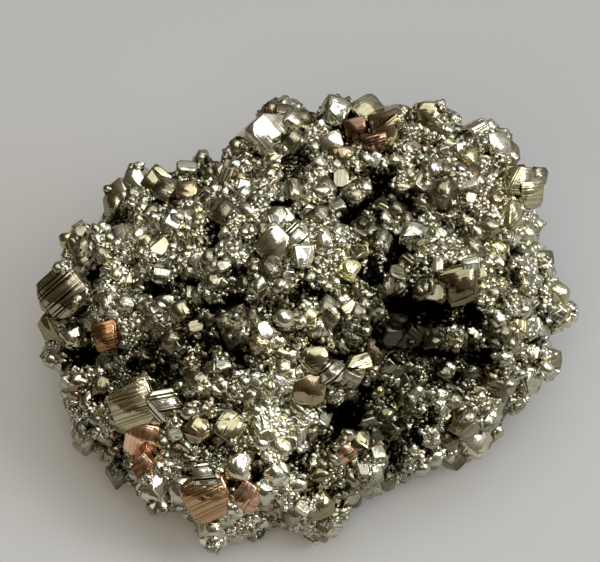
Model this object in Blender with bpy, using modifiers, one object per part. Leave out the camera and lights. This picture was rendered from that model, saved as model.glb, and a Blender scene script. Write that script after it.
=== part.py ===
"""Pyrite specimen: one intergrown cluster of pyrite crystals, lying on its broken base.

The lumpy body is a few large masses with rounded lobes of fine crystal on them, opened by dark
clefts. Larger crystals with flat faces stand on it. All of it grew together, so it is one solid.
Lengths in the tables are millimetres and turns are degrees. +Z is up, X runs along the specimen,
and -Y is its front. The origin is on the flat broken base.
"""
import itertools
import math
import random

import bmesh
import bpy
from mathutils import Euler, Matrix, Vector
from mathutils.bvhtree import BVHTree

MM = 0.001
NODE = "pyrite_cluster"

# Large masses that carry the lobes: centre x, y, z, then half-lengths along x, y, z.
MASSES = {
    "core": (0, 3, 22, 29, 24, 19),
    "foot": (1, 2, 13, 30, 23, 16),
    "back_crest": (9, 23, 28, 24, 12, 14),
    "back_right": (27, 17, 26, 13, 13, 14),
    "right": (27, 2, 19, 13, 14, 14),
    "left": (-26, 5, 19, 14, 16, 13),
    "front_left": (-23, -10, 14, 15, 12, 11),
    "front": (-10, -21, 13, 17, 11, 12),
    "front_toe": (1, -20, 12, 10, 10, 11),
    "front_right": (20, -9, 14, 13, 10, 11),
    "front_middle": (7, -11, 15, 13, 12, 13),
    "back_left": (-21, 18, 20, 14, 11, 11),
    "back_wall": (4, 17, 17, 30, 15, 15),
    "under_left": (-24, 3, 12, 16, 18, 12),
    "under_right": (24, 4, 12, 16, 15, 12),
}

# Rounded lobes of fine crystal: centre x, y, z, then radius.
LOBES = {
    "crest": [
        (-3, 30, 39, 5.0), (6, 30, 40, 4.5), (14, 28, 40, 5.0), (23, 29, 39, 4.5), (32, 24, 37, 4.5),
        (36, 16, 36, 4.5), (33, 10, 34, 4.5), (25, 14, 38, 5.5), (18, 19, 39, 4.5), (8, 20, 40, 4.0),
        (0, 22, 40, 3.5), (33, 26.5, 36, 4.5), (19, 30, 39, 4.0),
    ],
    "top": [
        (2, 14, 38, 4.5), (8, 5, 40, 3.5), (19, 5, 35, 4.5), (14, -7, 36, 3.5), (-4, -4, 39, 4.5),
        (-10, -3, 38, 3.5), (4, -2, 40, 3.5), (0, -12, 35, 4.5), (7, -13, 34, 3.5), (-5, -16, 31, 3.5),
        (-7, -10, 36, 2.5), (8, -5, 38, 2.5), (-13, 7, 38, 2.5),
    ],
    "right": [
        (27, 0, 32, 5.5), (39, 12, 22, 4.5), (42, 4, 20.5, 4.2), (32, -6, 27, 5.0), (39, -5, 15, 3.5),
        (31, -11, 19, 4.0), (24, -10, 24, 2.5), (22, -5, 32, 1.5),
    ],
    "front_right": [
        (19, -15, 21, 3.5), (26, -17, 17, 4.5), (31, -14, 10, 2.5), (17, -18, 11, 4.5),
        (9, -28, 16, 4.5), (18.5, -22, 12, 3.8),
    ],
    "front": [
        (2, -31, 11, 5.5), (-12, -31, 11, 6.0), (-21, -29, 13, 4.5), (-5, -29, 18, 4.0),
        (-16, -21, 23, 5.0), (-8, -20, 24, 5.5), (0, -22, 21, 5.5), (4, -18, 28, 5.0),
        (-14, -31.5, 8, 4.2), (0, -31.5, 7, 3.8),
    ],
    "front_left": [
        (-28, -20, 11, 4.5), (-35, -17, 14, 4.0), (-26, -18, 21, 4.5), (-37, -12, 17, 4.0),
        (-20, -12, 27, 4.0), (-30.5, -21, 8, 3.8),
    ],
    "left": [
        (-18, -1, 36, 3.5), (-24, -7, 28, 4.0), (-32, -5, 26, 4.5), (-39, 4, 23, 5.5), (-41, -2, 17, 4.0),
        (-33, 6, 30, 4.5), (-26, 7, 31, 4.5), (-37.5, 12.5, 25.5, 3.8),
    ],
    "back_left": [
        (-26, 20, 29, 4.5), (-29.5, 22.5, 28.0, 4.2), (-20, 22, 30, 4.5), (-18.5, 25, 31.5, 3.4),
        (-11, 20, 33, 4.5),
    ],
}

# How far a lobe sits in the body, as a share of its radius, and how much larger than listed it is.
LOBE_SINK = 0.3
LOBE_GROWTH = 1.1

# Between them, filler lobes are spread evenly over the masses, as seen from the middle.
FILLER_LOBES = 170
FILLER_RADIUS = (2.6, 4.6)
FILLER_TURN = 0.4
MIDDLE = (0, 2, 20)
OUTSIDE = 120

# Dark clefts between the lobes: one end, the other end, then width.
CLEFTS = [
    ((-11, -11, 37), (-12, -16, 32), 3.2),
    ((-17, -10, 36), (-14, -12, 36), 2.4),
    ((-25, -2, 31), (-21, -7, 34), 2.2),
    ((15, -10, 35), (27, -8, 30), 3.4),
    ((16, -16, 31), (25, -12, 25), 2.0),
    ((15, 3, 38), (14, -6, 39), 3.2),
    ((7, 3, 42), (14, 15, 40), 2.8),
    ((-3, 19, 40), (0, 18, 40), 2.4),
    ((-7, 8, 42), (-2, 6, 43), 2.4),
    ((10, -20, 24), (9, -25, 21), 3.6),
    ((-28, -13, 24), (-22, -17, 25), 2.8),
    ((-15, 6, 38), (-14, -2, 40), 2.2),
    ((-21, -5, 37), (-18, -6, 36), 2.2),
    ((-40, -5, 19), (-36, -7, 20), 2.0),
    ((-2, -31, 19), (5, -28, 20), 2.0),
    ((1, -10, 39), (6, -13, 38), 2.0),
    ((22, -16, 24), (26, -14, 23), 2.0),
    ((30, -12, 24), (34, -10, 23), 2.0),
    ((38, -6, 22), (40, -4, 20), 2.0),
    ((20, 29, 24), (26, 27, 30), 2.8),
    ((-8, 32, 22), (0, 33, 26), 3.0),
    ((-30, 21, 15), (-24, 25, 18), 2.8),
    ((36, 14, 14), (38, 8, 12), 2.6),
]
CLEFT_DEPTH = 2.2

# Fineness of the round forms, of the skin they become, and the share of its faces that is kept.
MASS_DETAIL = 4
LOBE_DETAIL = 3
CLEFT_DETAIL = 2
VOXEL = 0.8
BODY_RATIO = 0.026

# Crystals large enough to stand out: centre x, y, z, face width, habit, then pitch, roll and spin.
LARGE_CRYSTALS = {
    "crest": [
        (-6.0, 25.8, 40.0, 5.8, "block", 60, -30, 25), (-2.0, 26.5, 42.3, 4.0, "pyritohedron", 30, 20, 60),
        (5.5, 28.0, 43.5, 5.4, "octahedron", 35, 0, 20), (11.0, 28.5, 43.0, 4.8, "slab", 20, 10, 40),
        (14.5, 24.5, 43.0, 5.4, "block", 65, 15, 30), (9.0, 25.5, 42.0, 3.6, "cube", 50, 0, 15),
        (12.0, 22.0, 41.5, 4.0, "cube", 60, 25, 35), (5.0, 22.0, 41.5, 3.6, "block", 40, -10, 10),
        (21.5, 29.0, 42.0, 4.6, "block", 55, 15, 10), (33.0, 23.5, 40.0, 3.8, "slab", 25, 45, 30),
        (28.0, 20.5, 39.5, 4.0, "pyritohedron", 50, 10, 50), (35.5, 15.0, 39.5, 4.4, "block", 45, 35, 20),
        (37.5, 13.5, 38.0, 4.4, "slab", 50, 50, 40), (34.5, 9.0, 36.5, 4.0, "block", 30, 25, 65),
    ],
    "back_left": [
        (-28.5, 23.5, 31.5, 4.8, "block", 30, -10, 20), (-25.0, 22.5, 32.7, 4.2, "block", 45, 5, 55),
        (-31.3, 22.3, 30.3, 3.6, "cube", 40, -35, 10), (-32.5, 19.5, 29.5, 3.4, "block", 20, -40, 50),
        (-19.5, 18.5, 33.5, 4.6, "pyritohedron", 40, 10, 15),
    ],
    "left": [
        (-39.0, 1.5, 27.0, 7.4, "block", 50, -20, 25), (-41.5, -1.0, 21.0, 4.6, "block", 60, -50, 15),
        (-38.0, -4.0, 21.5, 4.8, "octahedron", 55, -25, 40), (-32.0, -9.0, 27.0, 4.4, "slab", 50, -5, 12),
        (-19.5, -9.5, 33.0, 3.8, "pyritohedron", 30, 10, 30),
    ],
    "front_left": [
        (-27.0, -20.0, 23.0, 7.0, "slab", 55, -15, 8), (-22.5, -21.0, 23.0, 5.0, "block", 40, 15, 20),
        (-25.5, -23.0, 18.0, 5.6, "slab", 65, -15, 65), (-25.5, -27.0, 15.5, 3.8, "cube", 60, -10, 30),
        (-23.5, -30.0, 13.5, 5.0, "block", 60, -20, 40),
        (-19.0, -31.5, 15.0, 4.8, "pyritohedron", 50, 0, 0),
        (-33.5, -16.5, 10.5, 3.8, "pyritohedron", 70, -30, 20),
    ],
    "front": [
        (-15.0, -32.5, 15.0, 7.0, "slab", 62, -8, 20), (-8.5, -33.0, 15.5, 4.0, "cube", 55, -10, 45),
        (-6.0, -32.0, 15.5, 4.4, "octahedron", 45, 15, 10),
        (-10.0, -30.0, 18.5, 5.2, "octahedron", 40, -5, 25),
        (-15.5, -31.0, 18.5, 3.6, "cube", 50, 5, 10), (2.5, -32.0, 12.0, 5.2, "pyritohedron", 70, 10, 30),
        (-16.5, -26.0, 23.0, 4.6, "pyritohedron", 50, -10, 40),
        (-11.5, -26.0, 23.5, 4.4, "block", 35, 5, 60),
        (2.0, -19.0, 31.5, 4.2, "block", 45, -5, 5), (4.5, -20.5, 30.5, 4.4, "octahedron", 50, 10, 50),
        (8.5, -19.0, 30.0, 4.2, "block", 50, 20, 30), (1.0, -21.5, 28.0, 4.8, "slab", 60, 0, 80),
        (7.0, -27.0, 20.0, 3.6, "cube", 60, -10, 25), (9.0, -26.5, 20.5, 4.2, "pyritohedron", 50, 15, 70),
    ],
    "right": [
        (25.0, -4.0, 33.5, 6.6, "slab", 52, 0, 12), (18.0, 2.0, 38.0, 5.6, "octahedron", 20, 10, 35),
        (28.0, -17.5, 11.5, 5.2, "slab", 60, 20, 70), (38.3, -7.0, 14.8, 4.2, "block", 60, 25, 10),
        (41.0, -4.5, 16.5, 3.6, "block", 50, 50, 30),
    ],
    "top": [
        (-4.5, -3.5, 42.0, 5.2, "slab", 45, -12, 35), (-1.0, -2.5, 42.0, 4.4, "block", 35, 10, 50),
        (0.0, -5.0, 41.0, 4.0, "cube", 20, 15, 20), (3.0, -3.0, 42.0, 3.4, "block", 30, 20, 70),
        (7.5, -7.5, 40.0, 3.6, "octahedron", 25, 5, 15), (-9.5, -14.0, 33.5, 3.2, "cube", 50, -5, 30),
    ],
}

# Crystals of middle size, spread over the body and each turned its own way. Those at the back and
# underneath are wider. Each seat is in the part of a face next to its first corner.
MEDIUM_CRYSTALS = 138
MEDIUM_HABITS = ("cube", "cuboctahedron", "octahedron")
MEDIUM_WIDTH = (2.8, 4.4)
MEDIUM_STRETCH = (0.85, 1.35)
WIDER_WIDTH = (3.6, 6.0)
BACK_FACING = 0.45
UNDER_FACING = -0.2
SPACING = 6.4
SPOTS_TRIED = 3000
SEAT_SHARE = 0.5
CRYSTAL_SINK = 0.26
CRYSTAL_REACH = 0.9
LOWEST_CRYSTAL = 4.0

# How far the corners of a cube are cut back: 1 leaves a cube and 0 a cuboctahedron.
BLOCK_CORNER = 0.55
SLAB_FLATNESS = 0.62
OCTAHEDRON_REACH = 1.35
PYRITOHEDRON_ROOF = 0.5
SAME_PLANE = math.radians(1)

BASE_MATERIAL = (0.52, 0.48, 0.37, 1)
ROUGHNESS = 0.25
FLOOR_BLOCK = 140


def ball(mesh, centre, radii, detail=LOBE_DETAIL, turn=Matrix()):
    """Adds one ellipsoid to the mesh."""
    place = Matrix.Translation(Vector(centre) * MM) @ turn @ Matrix.Diagonal((*(Vector(radii) * MM), 1))
    bmesh.ops.create_icosphere(mesh, subdivisions=detail, radius=1, matrix=place)


def new_object(name, mesh, collection):
    """An object of the given bmesh in a collection."""
    data = bpy.data.meshes.new(name)
    mesh.to_mesh(data)
    mesh.free()
    made = bpy.data.objects.new(name, data)
    collection.objects.link(made)
    return made


def even_directions(count, turn):
    """Unit vectors spread evenly over a sphere, along a spiral."""
    golden = math.pi * (1 + math.sqrt(5))
    for step in range(count):
        height = 1 - 2 * (step + 0.5) / count
        around = math.sqrt(1 - height * height)
        angle = golden * step + turn
        yield Vector((around * math.cos(angle), around * math.sin(angle), height))


def seat_from_outside(skin, way):
    """Where a line from outside towards the middle first meets the skin, in millimetres, and its normal."""
    spot, normal, _, _ = skin.ray_cast((Vector(MIDDLE) + way * OUTSIDE) * MM, -way)
    return spot / MM, normal


def add_skin(target):
    """Makes overlapping bodies one closed skin."""
    skin = target.modifiers.new("one_skin", "REMESH")
    skin.mode = "VOXEL"
    skin.voxel_size = VOXEL * MM


def body(collection):
    """The lumpy body: masses and lobes made one skin."""
    chance = random.Random(11)
    mesh = bmesh.new()
    for x, y, z, *radii in MASSES.values():
        ball(mesh, (x, y, z), radii, MASS_DETAIL)
    masses = BVHTree.FromBMesh(mesh)
    for way in even_directions(FILLER_LOBES, FILLER_TURN):
        spot, normal = seat_from_outside(masses, way)
        radius = chance.uniform(*FILLER_RADIUS)
        ball(mesh, spot - normal * radius * LOBE_SINK, (radius,) * 3)
    for group in LOBES.values():
        for x, y, z, radius in group:
            inward = (Vector(MIDDLE) - Vector((x, y, z))).normalized()
            ball(mesh, Vector((x, y, z)) + inward * radius * LOBE_SINK, (radius * LOBE_GROWTH,) * 3)
    made = new_object(NODE, mesh, collection)
    add_skin(made)
    return made


def cleft_cutters(collection):
    """Long ellipsoids, deep towards the middle of the body, as two meshes so that none overlap in one."""
    for first in range(2):
        mesh = bmesh.new()
        for start, end, width in CLEFTS[first::2]:
            start, end = Vector(start), Vector(end)
            centre = (start + end) / 2
            along = (end - start).normalized()
            outward = centre - Vector(MIDDLE)
            outward = (outward - along * outward.dot(along)).normalized()
            turn = Matrix((along, outward.cross(along), outward)).transposed().to_4x4()
            half_length = (end - start).length / 2 + width / 2
            ball(mesh, centre, (half_length, width / 2, width * CLEFT_DEPTH), CLEFT_DETAIL, turn)
        yield new_object(f"clefts_{first}", mesh, collection)


def signs(*point):
    """The point with every choice of signs."""
    return [
        tuple(coordinate * sign for coordinate, sign in zip(point, choice))
        for choice in itertools.product((1, -1), repeat=3)
    ]


def all_orders(a, b, c):
    """Corners in all orders and signs of three coordinates."""
    return {corner for order in itertools.permutations((a, b, c)) for corner in signs(*order)}


def habit_corners(habit):
    """The corners of a crystal of half-width 1 in one of pyrite's usual shapes."""
    if habit == "cube":
        return all_orders(1, 1, 1)
    if habit == "cuboctahedron":
        return all_orders(1, 1, 0)
    if habit == "block":
        return all_orders(1, 1, BLOCK_CORNER)
    if habit == "slab":
        return {(x, y, z * SLAB_FLATNESS) for x, y, z in all_orders(1, 1, BLOCK_CORNER)}
    if habit == "octahedron":
        return all_orders(OCTAHEDRON_REACH, 0, 0)
    roof = PYRITOHEDRON_ROOF
    corners = set(signs(1, 1, 1))
    for x, y, z in signs(0, 1 + roof, 1 - roof * roof):
        corners |= {(x, y, z), (y, z, x), (z, x, y)}
    return {(x / (1 + roof), y / (1 + roof), z / (1 + roof)) for x, y, z in corners}


def crystal(mesh, centre, width, habit, turn, stretch):
    """Adds one flat-faced crystal: the hull of its habit's corners."""
    grow = Matrix.Diagonal((width / 2 * MM, width / 2 * MM * stretch, width / 2 * MM, 1))
    place = Matrix.Translation(Vector(centre) * MM) @ turn.to_matrix().to_4x4() @ grow
    corners = [mesh.verts.new(place @ Vector(corner)) for corner in sorted(habit_corners(habit))]
    hull = bmesh.ops.convex_hull(mesh, input=corners)["geom"]
    faces = [part for part in hull if isinstance(part, bmesh.types.BMFace)]
    edges = list({edge for face in faces for edge in face.edges})
    bmesh.ops.recalc_face_normals(mesh, faces=faces)
    bmesh.ops.dissolve_limit(mesh, angle_limit=SAME_PLANE, verts=corners, edges=edges)


def spread_seats(mesh, taken, chance):
    """Random spots on the mesh, in millimetres, each with its normal and all well apart."""
    faces = list(mesh.polygons)
    areas = [face.area for face in faces]
    taken = list(taken)
    seats = []
    for face in chance.choices(faces, areas, k=SPOTS_TRIED):
        a, b, c = (mesh.vertices[corner].co / MM for corner in list(face.vertices)[:3])
        spot = a + (b - a) * chance.uniform(0, SEAT_SHARE) + (c - a) * chance.uniform(0, SEAT_SHARE)
        if spot.z > LOWEST_CRYSTAL and all((spot - other).length > SPACING for other in taken):
            taken.append(spot)
            seats.append((spot, face.normal.copy()))
    return seats[:MEDIUM_CRYSTALS]


def crystal_list(skin):
    """Every crystal that stands on the skin: centre, width, habit, turn and stretch."""
    chance = random.Random(5)
    found = []
    for group in LARGE_CRYSTALS.values():
        for x, y, z, width, habit, pitch, roll, spin in group:
            turn = Euler(map(math.radians, (pitch, roll, spin)), "ZXY")
            found.append((Vector((x, y, z)), width, habit, turn, 1.0))
    for spot, normal in spread_seats(skin, [one[0] for one in found], chance):
        wider = normal.y > BACK_FACING or normal.z < UNDER_FACING
        width = chance.uniform(*(WIDER_WIDTH if wider else MEDIUM_WIDTH))
        habit = chance.choice(MEDIUM_HABITS)
        turn = Euler([chance.uniform(0, math.tau) for _ in range(3)])
        centre = spot - normal * width * CRYSTAL_SINK
        found.append((centre, width, habit, turn, chance.uniform(*MEDIUM_STRETCH)))
    return found


def clear_of(one, other):
    """Whether two crystals can't touch."""
    reach = sum(width * max(stretch, 1) for _, width, _, _, stretch in (one, other))
    return (one[0] - other[0]).length > reach * CRYSTAL_REACH


def crystal_layers(collection, skin):
    """The crystals in a few meshes, each of crystals that don't touch one another."""
    layers = []
    for one in crystal_list(skin):
        free = [layer for layer in layers if all(clear_of(one, other) for other in layer)]
        if free:
            free[0].append(one)
        else:
            layers.append([one])
    for number, layer in enumerate(layers):
        mesh = bmesh.new()
        for one in layer:
            crystal(mesh, *one)
        yield new_object(f"crystals_{number}", mesh, collection)


def floor_cutter(collection):
    """The block below the base plane, where the cluster broke off flat."""
    mesh = bmesh.new()
    place = Matrix.Translation((0, 0, -FLOOR_BLOCK / 2 * MM))
    bmesh.ops.create_cube(mesh, size=FLOOR_BLOCK * MM, matrix=place)
    return new_object("floor_block", mesh, collection)


def combine(target, other, operation):
    """Adds an exact Boolean of another object, which is only a tool for it."""
    step = target.modifiers.new(other.name, "BOOLEAN")
    step.operation = operation
    step.object = other
    other.hide_render = True
    other.display_type = "WIRE"


def pyrite():
    """Pale brass-coloured metallic mineral."""
    made = bpy.data.materials.new("pyrite")
    made.use_nodes = True
    shader = made.node_tree.nodes["Principled BSDF"]
    shader.inputs["Base Color"].default_value = BASE_MATERIAL
    shader.inputs["Metallic"].default_value = 1
    shader.inputs["Roughness"].default_value = ROUGHNESS
    return made


for old in list(bpy.data.objects):
    bpy.data.objects.remove(old)
specimen = bpy.data.collections.new("pyrite_specimen")
tools = bpy.data.collections.new("tools")
for made in (specimen, tools):
    bpy.context.scene.collection.children.link(made)

stone = body(specimen)
for cleft in cleft_cutters(tools):
    combine(stone, cleft, "DIFFERENCE")
add_skin(stone)
fewer = stone.modifiers.new("fewer_faces", "DECIMATE")
fewer.ratio = BODY_RATIO
bpy.context.view_layer.update()
bare_skin = stone.evaluated_get(bpy.context.evaluated_depsgraph_get()).to_mesh()
for layer in crystal_layers(tools, bare_skin):
    combine(stone, layer, "UNION")
combine(stone, floor_cutter(tools), "DIFFERENCE")
stone.data.materials.append(pyrite())
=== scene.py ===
"""A hand-size cluster of pyrite crystals, dressed over its solid: massive pyrite, large crystals with
growth steps, rounded lumps, middle-size crystals, and the fine crust that covers the rest."""
import math

import bpy
import numpy as np
from mathutils import Euler, Matrix, Vector, noise
from mathutils.bvhtree import BVHTree


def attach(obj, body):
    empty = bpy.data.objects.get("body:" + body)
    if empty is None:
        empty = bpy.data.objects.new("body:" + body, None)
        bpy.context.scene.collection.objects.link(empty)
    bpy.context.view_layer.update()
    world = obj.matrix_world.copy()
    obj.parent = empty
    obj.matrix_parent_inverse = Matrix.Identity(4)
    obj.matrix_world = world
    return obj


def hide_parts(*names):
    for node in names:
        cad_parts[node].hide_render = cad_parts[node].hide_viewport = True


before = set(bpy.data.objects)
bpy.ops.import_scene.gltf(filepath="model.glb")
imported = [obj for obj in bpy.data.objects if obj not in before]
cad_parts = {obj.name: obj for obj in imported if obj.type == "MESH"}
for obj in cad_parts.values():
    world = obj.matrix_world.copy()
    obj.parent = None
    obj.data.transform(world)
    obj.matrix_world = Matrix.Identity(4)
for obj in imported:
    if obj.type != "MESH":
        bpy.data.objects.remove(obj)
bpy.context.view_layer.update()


# ---- Massive pyrite -------------------------------------------------------------------------------
# The real specimen's body is massive pyrite: metallic iron sulphide, knobbly where crystals grew into
# one another, and dull. Painted shade makes it nearly black in its clefts. Everything else grew on it.
MM = 0.001
# The solid's large crystals, each of which fills a socket of the body: the place of its middle and its
# width in millimetres, its habit, its three turns in degrees and its tarnish; "shaded" is painted shade.
LARGE_CRYSTALS = {
    "crest": [
        ((-6.3, 25.5, 40.3), 6.5, "block", (60, -30, 25), "bright"),
        ((-2.0, 26.5, 42.3), 4.0, "pyritohedron", (30, 20, 60), "brass"),
        ((5.5, 28.0, 43.5), 5.4, "octahedron", (35, 0, 20), "brass"),
        ((11.0, 28.5, 43.0), 4.8, "slab", (20, 10, 40), "olive"),
        ((14.5, 24.5, 43.0), 5.4, "block", (65, 15, 30), "bronze"),
        ((9.0, 25.5, 42.0), 3.6, "cube", (50, 0, 15), "brown"),
        ((12.0, 22.0, 41.5), 4.0, "cube", (60, 25, 35), "brown"),
        ((5.0, 22.0, 41.5), 3.6, "block", (40, -10, 10), "brass"),
        ((21.5, 29.0, 42.0), 4.6, "block", (55, 15, 10), "olive"),
        ((33.0, 23.5, 40.0), 3.8, "slab", (25, 45, 30), "bright"),
        ((28.0, 20.5, 39.5), 4.0, "pyritohedron", (50, 10, 50), "gold"),
        ((35.5, 15.0, 39.5), 4.4, "block", (45, 35, 20), "gold"),
        ((37.5, 13.5, 38.0), 4.4, "slab", (50, 50, 40), "gold"),
        ((34.5, 9.0, 36.5), 4.0, "block", (30, 25, 65), "gold"),
    ],
    "back_left": [
        ((-28.5, 23.5, 31.5), 4.8, "block", (30, -10, 20), "brass"),
        ((-25.0, 22.5, 32.7), 4.2, "block", (45, 5, 55), "olive"),
        ((-31.3, 22.3, 30.3), 3.6, "cube", (40, -35, 10), "brass"),
        ((-32.5, 19.5, 29.5), 3.4, "block", (20, -40, 50), "olive"),
        ((-19.5, 18.5, 33.5), 4.6, "pyritohedron", (40, 10, 15), "bronze"),
    ],
    "left": [
        ((-39.0, 1.5, 27.0), 7.4, "block", (50, -20, 25), "shaded"),
        ((-41.5, -1.0, 21.0), 4.6, "block", (60, -50, 15), "olive"),
        ((-38.0, -4.0, 21.5), 4.8, "octahedron", (55, -25, 40), "brass"),
        ((-32.0, -9.0, 27.0), 4.4, "slab", (50, -5, 12), "rust"),
        ((-19.5, -9.5, 33.0), 3.8, "pyritohedron", (30, 10, 30), "olive"),
    ],
    "front_left": [
        ((-27.0, -20.0, 23.0), 7.0, "slab", (55, -15, 8), "ridged"),
        ((-22.5, -21.0, 23.0), 5.0, "block", (40, 15, 20), "striped"),
        ((-25.5, -23.0, 18.0), 5.6, "slab", (65, -15, 65), "pink_copper"),
        ((-25.5, -27.0, 15.5), 3.8, "cube", (60, -10, 30), "copper"),
        ((-23.5, -30.0, 13.5), 5.0, "block", (60, -20, 40), "bright"),
        ((-19.0, -31.5, 15.0), 4.8, "pyritohedron", (50, 0, 0), "brass"),
        ((-33.5, -16.5, 10.5), 3.8, "pyritohedron", (70, -30, 20), "brass"),
    ],
    "front": [
        ((-15.0, -32.5, 15.0), 7.0, "slab", (62, -8, 20), "ruddy"),
        ((-8.5, -33.0, 15.5), 4.0, "cube", (55, -10, 45), "copper"),
        ((-6.0, -32.0, 15.5), 4.4, "octahedron", (45, 15, 10), "brass"),
        ((-10.0, -30.0, 18.5), 5.2, "octahedron", (40, -5, 25), "bright"),
        ((-15.5, -31.0, 18.5), 3.6, "cube", (50, 5, 10), "striped"),
        ((2.5, -32.0, 12.0), 5.2, "pyritohedron", (70, 10, 30), "olive"),
        ((-16.5, -26.0, 23.0), 4.6, "pyritohedron", (50, -10, 40), "bronze"),
        ((-11.5, -26.0, 23.5), 4.4, "block", (35, 5, 60), "olive"),
        ((2.0, -19.0, 31.5), 4.2, "block", (45, -5, 5), "olive"),
        ((4.5, -20.5, 30.5), 4.4, "octahedron", (50, 10, 50), "striped"),
        ((8.5, -19.0, 30.0), 4.2, "block", (50, 20, 30), "olive"),
        ((1.0, -21.5, 28.0), 4.8, "slab", (60, 0, 80), "bronze"),
        ((7.0, -27.0, 20.0), 3.6, "cube", (60, -10, 25), "copper"),
        ((9.0, -26.5, 20.5), 4.2, "pyritohedron", (50, 15, 70), "olive"),
    ],
    "right": [
        ((25.0, -4.0, 33.5), 6.6, "slab", (52, 0, 12), "dusky"),
        ((18.0, 2.0, 38.0), 5.6, "octahedron", (20, 10, 35), "brass"),
        ((28.0, -17.5, 11.5), 5.2, "slab", (60, 20, 70), "bright"),
        ((38.3, -7.0, 14.8), 4.2, "block", (60, 25, 10), "brass"),
        ((41.0, -4.5, 16.5), 3.6, "block", (50, 50, 30), "olive"),
    ],
    "top": [
        ((-4.5, -3.5, 42.0), 5.2, "slab", (45, -12, 35), "brass"),
        ((-1.0, -2.5, 42.0), 4.4, "block", (35, 10, 50), "striped"),
        ((0.0, -5.0, 41.0), 4.0, "cube", (20, 15, 20), "bright"),
        ((3.0, -3.0, 42.0), 3.4, "block", (30, 20, 70), "bright"),
        ((7.5, -7.5, 40.0), 3.6, "octahedron", (25, 5, 15), "yellow"),
        ((-9.5, -14.0, 33.5), 3.2, "cube", (50, -5, 30), "bright"),
    ],
}
# The clefts between the solid's knobs, in millimetres: both ends and the width.
CLEFTS = [
    ((-11, -11, 37), (-12, -16, 32), 3.2),
    ((-17, -10, 36), (-14, -12, 36), 2.4),
    ((-25, -2, 31), (-21, -7, 34), 2.2),
    ((15, -10, 35), (27, -8, 30), 3.4),
    ((16, -16, 31), (25, -12, 25), 2.0),
    ((15, 3, 38), (14, -6, 39), 3.2),
    ((7, 3, 42), (14, 15, 40), 2.8),
    ((-3, 19, 40), (0, 18, 40), 1.4),
    ((-7, 8, 42), (-2, 6, 43), 2.4),
    ((10, -20, 24), (9, -25, 21), 3.6),
    ((-28, -13, 24), (-22, -17, 25), 2.8),
    ((-15, 6, 38), (-14, -2, 40), 2.2),
    ((-21, -5, 37), (-18, -6, 36), 2.2),
    ((-40, -5, 19), (-36, -7, 20), 2.0),
    ((-2, -31, 19), (5, -28, 20), 2.0),
    ((1, -10, 39), (6, -13, 38), 2.0),
    ((22, -16, 24), (26, -14, 23), 2.0),
    ((30, -12, 24), (34, -10, 23), 2.0),
    ((38, -6, 22), (40, -4, 20), 2.0),
    ((20, 29, 24), (26, 27, 30), 2.8),
    ((-8, 32, 22), (0, 33, 26), 3.0),
    ((-30, 21, 15), (-24, 25, 18), 2.8),
    ((36, 14, 14), (38, 8, 12), 2.6),
]
BODY_GRAIN = 0.64 * MM
SAME_PLACE = 0.001 * MM
# The knobs' rims, and the width, spacing and share of the crevices between them, are parts of a knob's
# width; a socket's reach is a part of its crystal's width.
KNOB_WIDTH = 6.5 * MM
KNOB_HEIGHT = 2.2 * MM
KNOB_RIM = 0.3
CREVICE_DEPTH = 1.9 * MM
CREVICE_WIDTH = 0.22
CREVICE_SPACING = 1.7
CREVICE_SHARE = 0.55
SMALL_KNOB_WIDTH = 2.7 * MM
SMALL_KNOB_HEIGHT = 1.5 * MM
SMALL_KNOB_RIM = 0.4
CLEFT_DEPTH = 2.6 * MM
CLEFT_FLATNESS = 0.7
SOCKET_DEPTH = 0.8 * MM
SOCKET_REACH = (0.5, 0.75)
MIDDLE = np.array((0, 2, 20)) * MM
BASE_LEVEL = 0.05 * MM
BASE_ZONE = 1.0 * MM
# Openness is the share of rays that leave a spot freely, in a cone around its normal.
OPEN_REACH = 8 * MM
OPEN_RAYS = 14
OPEN_LIFT = 0.5
OPEN_CONE = 0.85
# Painted shade on the body: its colour is black below the first openness and full above the second.
BODY_SHADES = (0.3, 0.9)
BODY_GRAINS = [(0.0, "403c2c"), (0.5, "6e6a50"), (1.0, "9c977c")]
BODY_GRAIN_WIDTH = 0.45 * MM
BODY_FACET_WIDTH = 0.4 * MM
BODY_FACET_TILT = 0.35
BODY_ROUGHNESS = 0.34


def select_only(piece):
    """Selects one object and makes it the active one."""
    bpy.ops.object.select_all(action="DESELECT")
    bpy.context.view_layer.objects.active = piece
    piece.select_set(True)


def finish_piece(piece, material):
    """Gives a finished piece its material and its place on the specimen."""
    piece.data.materials.clear()
    piece.data.materials.append(material)
    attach(piece, "root")
    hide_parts("pyrite_cluster")


def linear(colour):
    """An sRGB hex colour as linear RGBA."""
    parts = [int(colour[i:i + 2], 16) / 255 for i in (0, 2, 4)]
    return [p / 12.92 if p <= 0.04045 else ((p + 0.055) / 1.055) ** 2.4 for p in parts] + [1]


def add_node(tree, kind, inputs=None, **settings):
    """Adds a shader node with its settings, and links or sets its inputs."""
    made = tree.nodes.new(kind)
    for name, value in settings.items():
        setattr(made, name, value)
    for socket, value in (inputs or {}).items():
        if isinstance(value, bpy.types.NodeSocket):
            tree.links.new(value, made.inputs[socket])
        else:
            made.inputs[socket].default_value = value
    return made


def ramp(tree, factor, stops):
    """Adds a colour ramp with the given places and colours."""
    made = add_node(tree, "ShaderNodeValToRGB", {"Fac": factor})
    while len(made.color_ramp.elements) < len(stops):
        made.color_ramp.elements.new(0.5)
    for element, (place, colour) in zip(made.color_ramp.elements, stops):
        element.position = place
        element.color = linear(colour) if isinstance(colour, str) else (colour, colour, colour, 1)
    return made.outputs["Color"]


def mixed(tree, kind, factor, one, other):
    """Adds a colour mix of two colours."""
    inputs = {0: factor, 6: one, 7: other}
    return add_node(tree, "ShaderNodeMix", inputs, data_type="RGBA", blend_type=kind).outputs[2]


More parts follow.
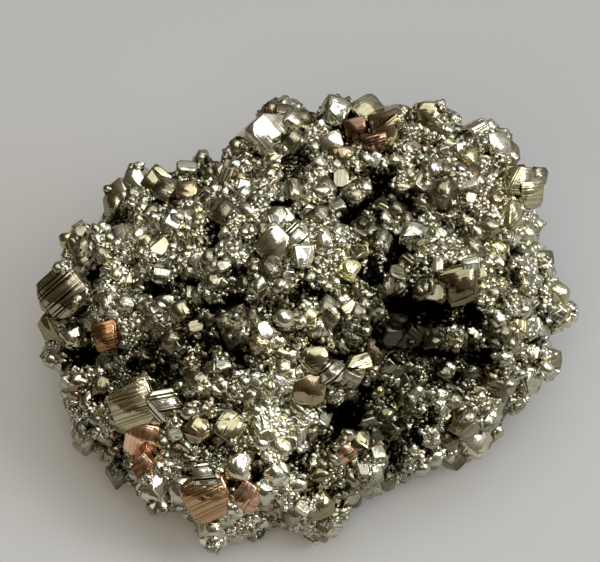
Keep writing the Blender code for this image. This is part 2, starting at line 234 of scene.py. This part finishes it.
def blank_material(name):
    """A new metallic material, its node tree and its Principled shader."""
    made = bpy.data.materials.new(name)
    made.use_nodes = True
    shader = made.node_tree.nodes["Principled BSDF"]
    shader.inputs["Metallic"].default_value = 1.0
    return made, made.node_tree, shader


def tilted_facets(tree, place, width, tilt):
    """A normal that leans another way on each small flat facet of a rough crystal face."""
    cells = add_node(tree, "ShaderNodeTexVoronoi", {"Vector": place, "Scale": 1 / width})
    lean = {0: cells.outputs["Color"], 1: (0.5, 0.5, 0.5)}
    lean = add_node(tree, "ShaderNodeVectorMath", lean, operation="SUBTRACT").outputs[0]
    normal = add_node(tree, "ShaderNodeNewGeometry").outputs["Normal"]
    leaning = {0: lean, 1: (2 * tilt,) * 3, 2: normal}
    return add_node(tree, "ShaderNodeVectorMath", leaning, operation="MULTIPLY_ADD").outputs[0]


def body_material():
    """Massive pyrite, broken and grown: fine-grained, so half-dull, and darkened with painted shade in its
    clefts, which gives the crystals on it their dark gaps."""
    made, tree, shader = blank_material("massive_pyrite")
    place = add_node(tree, "ShaderNodeTexCoord").outputs["Object"]
    # The painted shade, from black in clefts to full in open spots, multiplies the grains' colour.
    openness = add_node(tree, "ShaderNodeAttribute", attribute_name="tone_and_shade").outputs["Color"]
    grains = add_node(tree, "ShaderNodeTexVoronoi", {"Vector": place, "Scale": 1 / BODY_GRAIN_WIDTH})
    colour = ramp(tree, grains.outputs["Color"], BODY_GRAINS)
    tree.links.new(mixed(tree, "MULTIPLY", 1.0, colour, openness), shader.inputs["Base Color"])
    tree.links.new(tilted_facets(tree, place, BODY_FACET_WIDTH, BODY_FACET_TILT), shader.inputs["Normal"])
    shader.inputs["Roughness"].default_value = BODY_ROUGHNESS
    return made


def openness_of(spots, normals, skin):
    """How open each spot is to the outside, from 0 in a deep cleft to 1 on a tip."""
    golden = math.pi * (1 + math.sqrt(5))
    ways = []
    for step in range(OPEN_RAYS):
        height = 1 - (step + 0.5) / OPEN_RAYS * OPEN_CONE
        around = math.sqrt(1 - height * height)
        ways.append(Vector((around * math.cos(golden * step), around * math.sin(golden * step), height)))
    found = np.ones(len(spots))
    for number, (spot, normal) in enumerate(zip(spots, normals)):
        spot, normal = Vector(spot), Vector(normal)
        turn = normal.to_track_quat("Z", "Y").to_matrix()
        start = spot + normal * OPEN_LIFT * MM
        hits = sum(skin.ray_cast(start, turn @ way, OPEN_REACH)[0] is not None for way in ways)
        found[number] = 1 - hits / OPEN_RAYS
    return found


def read_vectors(items, name):
    """A vector of each mesh item, such as its place, as rows of an array."""
    found = np.empty(len(items) * 3)
    items.foreach_get(name, found)
    return found.reshape(-1, 3)


def smooth_step(value, low, high):
    """0 below low, 1 above high, and a soft rise between."""
    part = np.clip((value - low) / (high - low), 0, 1)
    return part * part * (3 - 2 * part)


def knobbly(spots, normals):
    """The skin with knobs, crevices between them, the clefts and a socket for each large crystal."""
    out = np.zeros(len(spots))
    for number, spot in enumerate(spots):
        (near, second, _, _), _ = noise.voronoi(Vector(spot) / KNOB_WIDTH)
        gap = noise.noise(Vector(spot) / (KNOB_WIDTH * CREVICE_SPACING)) + CREVICE_SHARE
        crevice = 1 - min((second - near) / CREVICE_WIDTH, 1)
        out[number] = KNOB_HEIGHT * (KNOB_RIM - near) - CREVICE_DEPTH * crevice * min(max(gap, 0), 1)
        (near, second, _, _), _ = noise.voronoi(Vector(spot) / SMALL_KNOB_WIDTH)
        out[number] += SMALL_KNOB_HEIGHT * (SMALL_KNOB_RIM - near)
    for start, end, width in CLEFTS:
        start, end = np.array(start) * MM, np.array(end) * MM
        along = end - start
        share = np.clip((spots - start) @ along / (along @ along), 0, 1)
        away = spots - start - share[:, None] * along
        outward = (start + end) / 2 - MIDDLE
        outward /= np.linalg.norm(outward)
        away -= (away @ outward)[:, None] * outward * CLEFT_FLATNESS
        distance = np.linalg.norm(away, axis=1)
        out -= CLEFT_DEPTH * (1 - smooth_step(distance, width / 4 * MM, width / 2 * MM))
    for place, width, *_ in all_large:
        distance = np.linalg.norm(spots - np.array(place) * MM, axis=1)
        out -= SOCKET_DEPTH * (1 - smooth_step(distance, *(reach * width * MM for reach in SOCKET_REACH)))
    rim = smooth_step(spots[:, 2], BASE_LEVEL, BASE_ZONE * 2)
    return spots + normals * (out * rim)[:, None]


all_large = [row for group in LARGE_CRYSTALS.values() for row in group]
body = bpy.data.objects.new("massive_pyrite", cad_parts["pyrite_cluster"].data.copy())
bpy.context.scene.collection.objects.link(body)
select_only(body)
bpy.ops.object.mode_set(mode="EDIT")
bpy.ops.mesh.select_all(action="SELECT")
bpy.ops.mesh.remove_doubles(threshold=SAME_PLACE)
bpy.ops.object.mode_set(mode="OBJECT")
remesh = body.modifiers.new("one_skin", "REMESH")
remesh.mode = "VOXEL"
remesh.voxel_size = BODY_GRAIN
bpy.ops.object.modifier_apply(modifier="one_skin")
spots = knobbly(read_vectors(body.data.vertices, "co"), read_vectors(body.data.vertices, "normal"))
spots[:, 2] = np.maximum(spots[:, 2], BASE_LEVEL)
body.data.vertices.foreach_set("co", spots.ravel())
body.data.update()
skin = BVHTree.FromObject(body, bpy.context.evaluated_depsgraph_get())
openness = openness_of(spots, read_vectors(body.data.vertices, "normal"), skin)
# Painted shade: the less open a spot, the darker its colour, down to black in the clefts.
shade = smooth_step(openness, *BODY_SHADES)
tone_and_shade = body.data.color_attributes.new("tone_and_shade", "FLOAT_COLOR", "POINT")
tone_and_shade.data.foreach_set("color", np.repeat(shade[:, None], 4, axis=1).ravel())
finish_piece(body, body_material())


# ---- Large crystals -------------------------------------------------------------------------------
# Well-formed pyrite crystals a few millimetres wide: cubes, truncated cubes, octahedra and pyritohedra,
# each with flat bright faces that carry growth steps and fine parallel striae. Some are tarnished
# copper-red or olive.
LARGE_STEPS = [(0.10, 0.0), (0.03, 0.035)]
# Colours of the large crystals; "shaded" is the brass colour darkened, painted shade on one crystal.
TARNISH_AND_SHADE = {
    "brass": "cdcbba", "bright": "e2dfcf", "olive": "9c967a", "ridged": "c6bd9e", "dusky": "7c745c",
    "brown": "745c4c", "bronze": "ac9e80", "copper": "dcb69c", "pink_copper": "fcd2b4", "ruddy": "c4a280",
    "rust": "a07a58", "gold": "ccc6a2", "yellow": "fbf6c0", "striped": "dcd9c8", "shaded": "a79e8b",
}
STRIPED = {
    "copper": 0.45, "pink_copper": 0.2, "ruddy": 0.4, "rust": 0.3, "gold": 0.35, "brown": 0.2,
    "striped": 1.0, "ridged": 0.5, "shaded": 1.0,
}
FAINT_STRIPES = 0.12
CORNER_CUT = {"cuboctahedron": 1.0, "block": 0.45, "slab": 0.45, "octahedron": 0.35}
SAME_CORNER = 0.01
SLAB_FLATNESS = 0.62
OCTAHEDRON_REACH = 1.35
LUMP_FACES = 13
LUMP_REACH = (0.82, 1.05)
TRIMMED_FACES = 5
TRIMMED_REACH = (0.85, 1.1)
PYRITOHEDRON_FACES = [(2, 1, 0), (2, -1, 0), (0, 2, 1), (0, 2, -1), (1, 0, 2), (-1, 0, 2)]
PYRITOHEDRON_REACH = 2 / math.sqrt(5)
PYRITOHEDRON_BLOCK = 2
WEDGE_REACH = (0.5, 0.85)
LARGE_GROWTH = 1.05
CATCHING_LIGHT = ("bright", "yellow")
CATCHING_WAY = Vector((0.39, -0.52, 0.76)).normalized()
CUBE_FACES = [(1, 0, 0), (0, 1, 0), (0, 0, 1)]
FACE_WAYS = {
    "octahedron": [(1, 1, 1), (1, 1, -1), (1, -1, 1), (-1, 1, 1)],
    "pyritohedron": PYRITOHEDRON_FACES,
}
STRIAE_SPACING = 0.9 * MM
STRIAE_LENGTH = 5 * MM
STRIAE_DEPTH = 0.05 * MM
STRIAE_BEND = 0.05
STRIAE_LINES = [(0.465, 0.0), (0.485, 1.0), (0.51, 1.0), (0.53, 0.0)]
# Painted shade in the striae's grooves: along them the colour darkens towards this dark brown.
GROOVE_SHADE_COLOUR = "3c3626"
STAIN_WIDTH = 2.2 * MM
STAINS = [(0.35, "ffffff"), (0.62, "f0ede2"), (0.78, "b4ac92")]
WRINKLE_WIDTH = 0.7 * MM
CRYSTAL_SEED = 7
chance = np.random.default_rng(CRYSTAL_SEED)


def random_faces(count, reach):
    """Cutting planes by chance around a crystal's middle: where each passes and which way it faces."""
    for _ in range(count):
        way = Vector(chance.normal(size=3)).normalized()
        yield way * chance.uniform(*reach), way


def crystal_form(habit, steps, trimmed=0):
    """One crystal of half-width 1 with growth steps on its faces, as arrays of its mesh."""
    bpy.ops.object.select_all(action="DESELECT")
    if habit in ("octahedron", "sharp_octahedron"):
        bpy.ops.mesh.primitive_uv_sphere_add(segments=4, ring_count=2, radius=OCTAHEDRON_REACH)
    else:
        bpy.ops.mesh.primitive_cube_add(size=2)
    form = bpy.context.object
    bpy.ops.object.mode_set(mode="EDIT")
    bpy.ops.mesh.select_all(action="SELECT")
    if habit in CORNER_CUT:
        bpy.ops.mesh.bevel(offset=CORNER_CUT[habit], affect="VERTICES")
        bpy.ops.mesh.select_all(action="SELECT")
        bpy.ops.mesh.remove_doubles(threshold=SAME_CORNER)
    if habit == "slab":
        bpy.ops.transform.resize(value=(1, 1, SLAB_FLATNESS))
    cuts = list(random_faces(trimmed, TRIMMED_REACH))
    if habit == "wedge":
        cuts = random_faces(1, WEDGE_REACH)
    if habit == "lump":
        cuts = random_faces(LUMP_FACES, LUMP_REACH)
    if habit == "pyritohedron":
        bpy.ops.transform.resize(value=(PYRITOHEDRON_BLOCK,) * 3)
        ways = [Vector(face).normalized() * side for face in PYRITOHEDRON_FACES for side in (1, -1)]
        cuts += [(way * PYRITOHEDRON_REACH, way) for way in ways]
    for spot, way in cuts:
        bpy.ops.mesh.select_all(action="SELECT")
        bpy.ops.mesh.bisect(plane_co=spot, plane_no=way, use_fill=True, clear_outer=True)
    bpy.ops.mesh.select_all(action="SELECT")
    for thickness, depth in steps:
        bpy.ops.mesh.inset(thickness=thickness, depth=depth, use_individual=True)
    bpy.ops.mesh.select_all(action="SELECT")
    bpy.ops.mesh.normals_make_consistent(inside=False)
    bpy.ops.object.mode_set(mode="OBJECT")
    mesh = form.data
    shape = read_vectors(mesh.vertices, "co")
    loops = np.array([loop.vertex_index for loop in mesh.loops])
    sizes = np.array([face.loop_total for face in mesh.polygons])
    stripes = np.empty((len(loops), 2))
    for face in mesh.polygons:
        flat = int(np.argmax(np.abs(face.normal)))
        for loop in face.loop_indices:
            stripes[loop] = shape[loops[loop], [(flat + 2) % 3, (flat + 1) % 3]]
    bpy.data.objects.remove(form)
    bpy.data.meshes.remove(mesh)
    return shape, loops, sizes, stripes


def grow(name, forms, kinds, places, turns, halves, tones):
    """Joins one copy of a form for each row of the arrays into one piece."""
    points, corners, sizes, stripes, colours = [], [], [], [], []
    first = 0
    for kind, (shape, loops, faces, across) in enumerate(forms):
        here = kinds == kind
        count = int(here.sum())
        scaled = shape[None] * halves[here][:, None]
        moved = np.einsum("nij,nkj->nki", turns[here], scaled) + places[here][:, None]
        points.append(moved.reshape(-1, 3))
        corners.append((loops[None] + np.arange(count)[:, None] * len(shape)).ravel() + first)
        sizes.append(np.tile(faces, count))
        stripes.append((across[None] * halves[here][:, :1, None] / STRIAE_LENGTH).reshape(-1, 2))
        colours.append(np.repeat(tones[here], len(loops), axis=0))
        first += count * len(shape)
    points, corners, sizes = np.concatenate(points), np.concatenate(corners), np.concatenate(sizes)
    mesh = bpy.data.meshes.new(name)
    mesh.vertices.add(len(points))
    mesh.vertices.foreach_set("co", points.ravel())
    mesh.loops.add(len(corners))
    mesh.loops.foreach_set("vertex_index", corners)
    mesh.polygons.add(len(sizes))
    mesh.polygons.foreach_set("loop_start", np.concatenate(([0], np.cumsum(sizes)[:-1])))
    mesh.polygons.foreach_set("loop_total", sizes)
    mesh.update(calc_edges=True)
    mesh.uv_layers.new(name="striae").data.foreach_set("uv", np.concatenate(stripes).ravel())
    layer = mesh.color_attributes.new("tone_and_shade", "FLOAT_COLOR", "CORNER")
    layer.data.foreach_set("color", np.concatenate(colours).ravel())
    piece = bpy.data.objects.new(name, mesh)
    bpy.context.scene.collection.objects.link(piece)
    return piece


def crystal_material(name, roughness, facet_width, tilt, wrinkle_depth):
    """Natural pyrite faces, as grown: a bright metal that breaks its reflections up with straight striae,
    small facets and wrinkles, under a thin brown tarnish. Striae and facets are drawn as coarse as they
    need to show."""
    made, tree, shader = blank_material(name)
    place = add_node(tree, "ShaderNodeTexCoord")
    tone_and_shade = add_node(tree, "ShaderNodeAttribute", attribute_name="tone_and_shade")
    across = {0: place.outputs["UV"], 1: (STRIAE_LENGTH / STRIAE_SPACING, STRIAE_BEND, 1)}
    stretched = add_node(tree, "ShaderNodeVectorMath", across, operation="MULTIPLY").outputs[0]
    lines = {"Vector": stretched, "Scale": 1.0, "Detail": 1.0}
    lines = add_node(tree, "ShaderNodeTexNoise", lines, noise_dimensions="2D").outputs["Fac"]
    groove = {0: ramp(tree, lines, STRIAE_LINES), 1: tone_and_shade.outputs["Alpha"]}
    groove = add_node(tree, "ShaderNodeMath", groove, operation="MULTIPLY").outputs[0]
    stain = {"Vector": place.outputs["Object"], "Scale": 1 / STAIN_WIDTH, "Detail": 3.0}
    stain = ramp(tree, add_node(tree, "ShaderNodeTexNoise", stain).outputs["Fac"], STAINS)
    colour = mixed(tree, "MULTIPLY", 1.0, tone_and_shade.outputs["Color"], stain)
    # Painted shade: the striae's grooves darken the colour.
    grooved = mixed(tree, "MULTIPLY", groove, colour, linear(GROOVE_SHADE_COLOUR))
    tree.links.new(grooved, shader.inputs["Base Color"])
    facets = tilted_facets(tree, place.outputs["Object"], facet_width, tilt)
    ridges = {"Height": groove, "Strength": 1.0, "Distance": STRIAE_DEPTH, "Normal": facets}
    ridges = add_node(tree, "ShaderNodeBump", ridges).outputs["Normal"]
    wrinkles = {
        "Vector": place.outputs["Object"], "Scale": 1 / WRINKLE_WIDTH, "Detail": 1.5, "Distortion": 0.8,
    }
    wrinkles = add_node(tree, "ShaderNodeTexNoise", wrinkles).outputs["Fac"]
    wrinkles = {"Height": wrinkles, "Strength": 1.0, "Distance": wrinkle_depth, "Normal": ridges}
    tree.links.new(add_node(tree, "ShaderNodeBump", wrinkles).outputs["Normal"], shader.inputs["Normal"])
    shader.inputs["Roughness"].default_value = roughness
    return made


large_places, large_widths, habits, turns, tarnishes_and_shades = zip(*all_large)
large_forms = [crystal_form(habit, LARGE_STEPS, TRIMMED_FACES) for habit in habits]
large_places = np.array(large_places) * MM
large_halves = np.array(large_widths) / 2 * MM * LARGE_GROWTH
large_turns = np.array([Euler(map(math.radians, turn), "ZXY").to_matrix() for turn in turns])
for number, (habit, tarnish) in enumerate(zip(habits, tarnishes_and_shades)):
    if tarnish in CATCHING_LIGHT:
        turn = Matrix(large_turns[number])
        faces = [Vector(way).normalized() for way in FACE_WAYS.get(habit, CUBE_FACES)]
        turned = [turn @ way * side for way in faces for side in (1, -1)]
        nearest = max(turned, key=lambda way: way.dot(CATCHING_WAY))
        large_turns[number] = nearest.rotation_difference(CATCHING_WAY).to_matrix() @ turn
large_kinds = np.arange(len(all_large))
large_tones = np.array([
    linear(TARNISH_AND_SHADE[tarnish])[:3] + [STRIPED.get(tarnish, FAINT_STRIPES)] for tarnish in tarnishes_and_shades
])
crystal_faces = crystal_material(
    "pyrite_crystal_faces", roughness=0.11, facet_width=1.9 * MM, tilt=0.06, wrinkle_depth=0.03 * MM)
large = grow("large_crystals", large_forms, large_kinds, large_places, large_turns,
             np.repeat(large_halves[:, None], 3, axis=1), large_tones)
finish_piece(large, crystal_faces)


# ---- Rounded lumps --------------------------------------------------------------------------------
# Pyrite grains of 3 to 5 mm with many small faces, so nearly round. They grew with their neighbours
# against them, and are duller and browner than the well-formed crystals.
LUMPS_TRIED = 900
# Widths and strays are in millimetres. Sinks, lifts, floors, stretches and clearances are parts of a
# crystal's width.
LUMP_WIDTH = (2.8, 5.0)
LUMP_SPACING = 4.2 * MM
LUMP_SINK = 0.2
LUMP_FLOOR = 0.88
LUMP_STRETCH = (0.85, 1.15)
LUMP_VARIANTS = 10
LUMP_OPENNESS = 0.55
LARGE_CLEARANCE = 1.1
LUMP_CLEARANCE = 1.5
# Each colour with the share of the crystals that have it.
LUMP_TONES = {"a29d88": 0.4, "b6b39e": 0.25, "8e8872": 0.25, "a08e76": 0.1}
# The crystals' painted shade: full colour above the second openness, almost black below the first, spread
# by chance and warmer as it darkens.
SHADES = (0.28, 0.84)
SHADE_SPREAD = (0.75, 1.15)
DARKEST = 0.01
SHADE_TINT = (1.0, 1.02, 1.1)
MOST_LIGHTENED = 0.7
MOST_DARKENED = -0.9
LIGHTENING_TINT = np.array((1.0, 1.0, 0.85))
MOST_STRIPED = 0.5
# Patches where the crystals' colour is lightened or darkened, in millimetres: centre, radius and strength.
PATCHES = [
    ((12, -15, 34.5), 7.0, -0.75), ((20, -12.5, 31), 6.0, -0.75), ((11.5, -22, 22), 5.5, -0.7),
    ((-5, -8, 39), 4.5, -0.55), ((11.5, 3, 40.5), 5.0, -0.5), ((-22, 24, 31), 6.0, -0.4),
    ((-28.5, -21, 20), 5.0, -0.35), ((-29, -14, 23), 5.5, -0.55), ((19.5, -5, 37), 4.5, -0.4),
    ((28, -13, 22), 5.5, -0.5), ((-12.5, -30, 20), 5.0, -0.4), ((-16, -9, 34.5), 3.0, -0.5),
    ((-22, -8, 31), 5.0, -0.3), ((20.5, -14, 27), 5.0, -0.5), ((9, -27, 9), 9.0, -0.35),
    ((25, -18, 7), 9.0, -0.35), ((-30, -24, 6), 9.0, -0.3), ((37, 11, 33), 7.0, 0.6),
    ((-4.5, -26, 24), 6.0, 0.6), ((-4.5, -21, 30.5), 7.0, 0.7), ((-4.5, -31, 18), 5.0, 0.6),
    ((-12, -36, 11), 6.0, 0.6), ((-2, -33, 10), 5.0, 0.5), ((21, -17, 16), 6.0, 0.5),
    ((44, 0.6, 19.8), 8.0, 0.8), ((-29, 0, 32), 7.0, 0.6), ((-37, -18, 15), 5.0, 0.5),
]


def patch_strength(spots):
    """How much each spot is lightened or darkened: above 0 on lighter patches and below 0 on darker ones.
    """
    found = np.zeros(len(spots))
    for place, radius, strength in PATCHES:
        distance = np.linalg.norm(spots - np.array(place) * MM, axis=1)
        found += strength * np.exp(-(distance / (radius * MM)) ** 2)
    return found


def random_turns(count):
    """Turns in any direction, evenly likely, as matrices."""
    quaternions = chance.normal(size=(4, count))
    w, x, y, z = quaternions / np.linalg.norm(quaternions, axis=0)
    return np.array([
        [1 - 2 * (y * y + z * z), 2 * (x * y - z * w), 2 * (x * z + y * w)],
        [2 * (x * y + z * w), 1 - 2 * (x * x + z * z), 2 * (y * z - x * w)],
        [2 * (x * z - y * w), 2 * (y * z + x * w), 1 - 2 * (x * x + y * y)],
    ]).transpose(2, 0, 1)


def random_tones(spots, open_parts, shares):
    """Colours by chance, painted shade where hemmed in, lighter and darker patches, each crystal's striae
    strength.
    """
    colours = np.array([linear(colour)[:3] for colour in shares])
    picked = colours[chance.choice(len(shares), len(open_parts), p=list(shares.values()))]
    patch = patch_strength(spots)[:, None]
    picked = picked ** (1 - np.clip(patch, 0, MOST_LIGHTENED) * LIGHTENING_TINT)
    # Painted shade: the less open a crystal's seat, the darker its colour.
    shade = smooth_step(open_parts, *SHADES) * chance.uniform(*SHADE_SPREAD, len(open_parts)) + DARKEST
    picked *= (shade[:, None] * (1 + np.clip(patch, MOST_DARKENED, 0))) ** SHADE_TINT
    return np.hstack((np.clip(picked, 0, 1), chance.uniform(0, MOST_STRIPED, (len(open_parts), 1))))


def outside(spots, places, reaches):
    """Whether each spot is outside all the balls of these places and reaches."""
    clear = np.ones(len(spots), bool)
    for place, reach in zip(places, reaches):
        clear &= np.linalg.norm(spots - place, axis=1) > reach
    return clear


def well_apart(places, spacing):
    """The rows of places that keep this far from all rows kept before them."""
    kept = []
    for number, place in enumerate(places):
        if all(np.linalg.norm(place - places[other]) > spacing for other in kept):
            kept.append(number)
    return np.array(kept)


centres = read_vectors(body.data.polygons, "center")
facing = read_vectors(body.data.polygons, "normal")
face_corners = np.empty(len(body.data.loops), int)
body.data.loops.foreach_get("vertex_index", face_corners)
face_openness = openness[face_corners].reshape(-1, 4).mean(axis=1)
free = outside(centres, large_places, large_halves * LARGE_CLEARANCE) & (centres[:, 2] > BASE_ZONE)

lump_forms = [crystal_form("lump", []) for _ in range(LUMP_VARIANTS)]
open_seats = np.flatnonzero(free & (face_openness > LUMP_OPENNESS))
lump_seats = chance.choice(open_seats, LUMPS_TRIED, replace=False)
lump_seats = lump_seats[outside(centres[lump_seats], large_places, large_halves * LUMP_CLEARANCE)]
lump_seats = lump_seats[well_apart(centres[lump_seats], LUMP_SPACING)]
lump_widths = chance.triangular(LUMP_WIDTH[0], LUMP_WIDTH[0], LUMP_WIDTH[1], len(lump_seats)) * MM
lump_places = centres[lump_seats] - facing[lump_seats] * (lump_widths * LUMP_SINK)[:, None]
lump_places[:, 2] = np.maximum(lump_places[:, 2], lump_widths * LUMP_FLOOR)
lump_halves = lump_widths[:, None] / 2 * chance.uniform(*LUMP_STRETCH, (len(lump_seats), 3))
lump_tones = random_tones(centres[lump_seats], face_openness[lump_seats], LUMP_TONES)
dull_faces = crystal_material(
    "pyrite_dull_faces", roughness=0.2, facet_width=0.9 * MM, tilt=0.16, wrinkle_depth=0.12 * MM)
lumps = grow("rounded_lumps", lump_forms, chance.integers(LUMP_VARIANTS, size=len(lump_seats)), lump_places,
             random_turns(len(lump_seats)), lump_halves, lump_tones)
finish_piece(lumps, dull_faces)
free &= outside(centres, lump_places, lump_halves.min(axis=1))


# ---- Middle-size crystals -------------------------------------------------------------------------
# Crystals of 1.5 to 3.7 mm between the large ones, in the same habits and each turned its own way,
# half grown into the body and into one another.
MIDDLE_COUNT = 2200
MIDDLE_WIDTH = (1.5, 3.7)
MIDDLE_STRETCH = (0.8, 1.15)
MIDDLE_LIFT = (-0.15, 0.12)
MIDDLE_OPENNESS = 0.45
MIDDLE_CLEARANCE = 1.15
MIDDLE_STEPS = [(0.16, 0.03)]
STEPPED = ("cube", "block", "slab")
# How many forms of each habit the crystals are picked from.
MIDDLE_FORMS = {
    "cube": 2, "cuboctahedron": 3, "block": 3, "slab": 1, "octahedron": 3, "pyritohedron": 3, "lump": 9,
}
TONES = {"cdcbba": 0.50, "e0dece": 0.18, "a19c86": 0.21, "a59b82": 0.07, "b0957c": 0.01, "d2cca0": 0.03}

middle_forms = [crystal_form(habit, MIDDLE_STEPS if habit in STEPPED else [], 1)
                for habit, variants in MIDDLE_FORMS.items() for _ in range(variants)]
open_seats = np.flatnonzero(free & (face_openness > MIDDLE_OPENNESS))
picked = chance.choice(open_seats, MIDDLE_COUNT, replace=False)
picked = picked[outside(centres[picked], large_places, large_halves * MIDDLE_CLEARANCE)]
widths = chance.triangular(MIDDLE_WIDTH[0], MIDDLE_WIDTH[0], MIDDLE_WIDTH[1], len(picked)) * MM
lifts = widths * chance.uniform(*MIDDLE_LIFT, len(picked))
middle_places = centres[picked] + facing[picked] * lifts[:, None]
middle_halves = widths[:, None] / 2 * chance.uniform(*MIDDLE_STRETCH, (len(picked), 3))
middle_places[:, 2] = np.maximum(middle_places[:, 2], widths)
middle_kinds = chance.integers(len(middle_forms), size=len(picked))
middle_turns = random_turns(len(picked))
middle_tones = random_tones(centres[picked], face_openness[picked], TONES)
middle = grow("middle_crystals", middle_forms, middle_kinds, middle_places, middle_turns, middle_halves,
              middle_tones)
finish_piece(middle, crystal_faces)


# ---- Fine crust -----------------------------------------------------------------------------------
# A crust of pyrite crystals of about a millimetre, packed side by side over the rest of the body and
# grown onto it. Its sharp wedges and octahedra are what sparkles.
CRUST_PIECES = 5
CRUST_WIDTH = (0.7, 1.5)
CRUST_SPREAD = (0.2, 1.4)
CRUST_STRETCH = (0.75, 1.2)
CRUST_LIFT = (-0.2, 0.16)
CRUST_STRAY = 0.12
MIDDLE_COVER = 0.9
SIZE_PATCH = 4.5 * MM
SMALL_FORMS = {"cube": 2, "sharp_octahedron": 4, "wedge": 8}
crust_faces = crystal_material(
    "pyrite_crust", roughness=0.12, facet_width=0.5 * MM, tilt=0.3, wrinkle_depth=0.15 * MM)
small_forms = [crystal_form(habit, []) for habit, variants in SMALL_FORMS.items() for _ in range(variants)]
free &= outside(centres, middle_places, middle_halves.min(axis=1) * MIDDLE_COVER)
for number, picked in enumerate(np.array_split(np.flatnonzero(free), CRUST_PIECES)):
    count = len(picked)
    patch = np.array([noise.noise(Vector(spot) / SIZE_PATCH) for spot in centres[picked]]) * 0.5 + 0.5
    spread = (CRUST_WIDTH[1] - CRUST_WIDTH[0]) * patch * chance.uniform(*CRUST_SPREAD, count)
    widths = (CRUST_WIDTH[0] + spread) * MM
    places = centres[picked] + facing[picked] * (widths * chance.uniform(*CRUST_LIFT, count))[:, None]
    places += chance.normal(size=(count, 3)) * CRUST_STRAY * MM
    places[:, 2] = np.maximum(places[:, 2], widths)
    halves = widths[:, None] / 2 * chance.uniform(*CRUST_STRETCH, (count, 3))
    piece = grow(f"crust_{number + 1}", small_forms, chance.integers(len(small_forms), size=count),
                 places, random_turns(count), halves, random_tones(places, face_openness[picked], TONES))
    finish_piece(piece, crust_faces)


# ---- Camera, floor and lights ---------------------------------------------------------------------
# A plain matt table top in a dim room. A window on the right and a soft ceiling light give the metal its
# reflections, and three weaker fills, kept out of the reflections, even out the table's brightness.
ELEVATION = math.radians(45)
CAMERA_DISTANCE = 330 * MM
CAMERA_AIM = Vector((0, 0, 22)) * MM
NEAREST_SEEN = 10 * MM
LENS = 117.7
FRAME_WIDTH = 600
AIM_SHIFT = (-3 / FRAME_WIDTH, 37 / FRAME_WIDTH)
TABLE_SIZE = 3
TABLE_COLOUR = "7f7f7f"
TABLE_ROUGHNESS = 0.8
LAMP_AIM = Vector((0, 0, 0.02))
ROOM_LIGHT_WAY = (0.5, 0.2, 0.84)
ROOM_LIGHT = [(0.0, "5f5545"), (0.4, "918a7c"), (0.8, "eeeff1")]
ROOM_THINGS = [(0.35, 0.35), (0.5, 1.0), (0.65, 1.0)]
ROOM_THINGS_SCALE = 2.5

bpy.ops.object.select_all(action="DESELECT")
bpy.ops.mesh.primitive_plane_add(size=TABLE_SIZE, location=(0, 0, 0))
floor = bpy.context.object
floor.name = "table_top"
floor_paint = bpy.data.materials.new("matt_pale_table")
floor_paint.use_nodes = True
floor_shader = floor_paint.node_tree.nodes["Principled BSDF"]
floor_shader.inputs["Base Color"].default_value = linear(TABLE_COLOUR)
floor_shader.inputs["Roughness"].default_value = TABLE_ROUGHNESS
floor.data.materials.append(floor_paint)

back = Vector((0, -math.cos(ELEVATION), math.sin(ELEVATION)))
camera = bpy.data.objects.new("camera", bpy.data.cameras.new("camera"))
camera.location = CAMERA_AIM + back * CAMERA_DISTANCE
camera.rotation_euler = (math.pi / 2 - ELEVATION, 0, 0)
camera.data.lens = LENS
camera.data.shift_x, camera.data.shift_y = AIM_SHIFT
camera.data.clip_start = NEAREST_SEEN
bpy.context.scene.collection.objects.link(camera)
bpy.context.scene.camera = camera

# Each light's place and size in metres, its power in watts, its colour, and whether it is reflected.
LIGHTS = {
    "window": ((1.0, -0.35, 0.95), 0.6, 11.4, "f9fbfa", True),
    "ceiling": ((0.1, -0.1, 1.3), 1.4, 12.9, "f4f7fa", True),
    "left_fill": ((-0.68, -1.18, 0.63), 0.8, 11.7, "ffe6c2", False),
    "right_fill": ((1.18, -0.68, 0.63), 0.8, 13.0, "d4e8ff", False),
    "front_fill": ((0.0, -1.06, 1.06), 0.8, 23.5, "fff5de", False),
}
for name, (place, size, power, colour, reflected) in LIGHTS.items():
    light = bpy.data.lights.new(name, "AREA")
    light.energy = power
    light.size = size
    light.color = linear(colour)[:3]
    lamp = bpy.data.objects.new(name, light)
    lamp.location = place
    lamp.rotation_euler = (LAMP_AIM - lamp.location).to_track_quat("-Z", "Y").to_euler()
    lamp.visible_glossy = reflected
    bpy.context.scene.collection.objects.link(lamp)

world = bpy.data.worlds.new("dim_room")
world.use_nodes = True
room = world.node_tree
way = add_node(room, "ShaderNodeTexCoord").outputs["Generated"]
upward = {0: way, 1: ROOM_LIGHT_WAY}
upward = add_node(room, "ShaderNodeVectorMath", upward, operation="DOT_PRODUCT").outputs["Value"]
brightness = ramp(room, upward, ROOM_LIGHT)
things = {"Vector": way, "Scale": ROOM_THINGS_SCALE, "Detail": 2.0}
things = ramp(room, add_node(room, "ShaderNodeTexNoise", things).outputs["Fac"], ROOM_THINGS)
walls = mixed(room, "MULTIPLY", 1.0, brightness, things)
background = room.nodes["Background"]
room.links.new(walls, background.inputs["Color"])
background.inputs["Strength"].default_value = 1.0
bpy.context.scene.world = world

bpy.context.scene.view_settings.view_transform = "Standard"
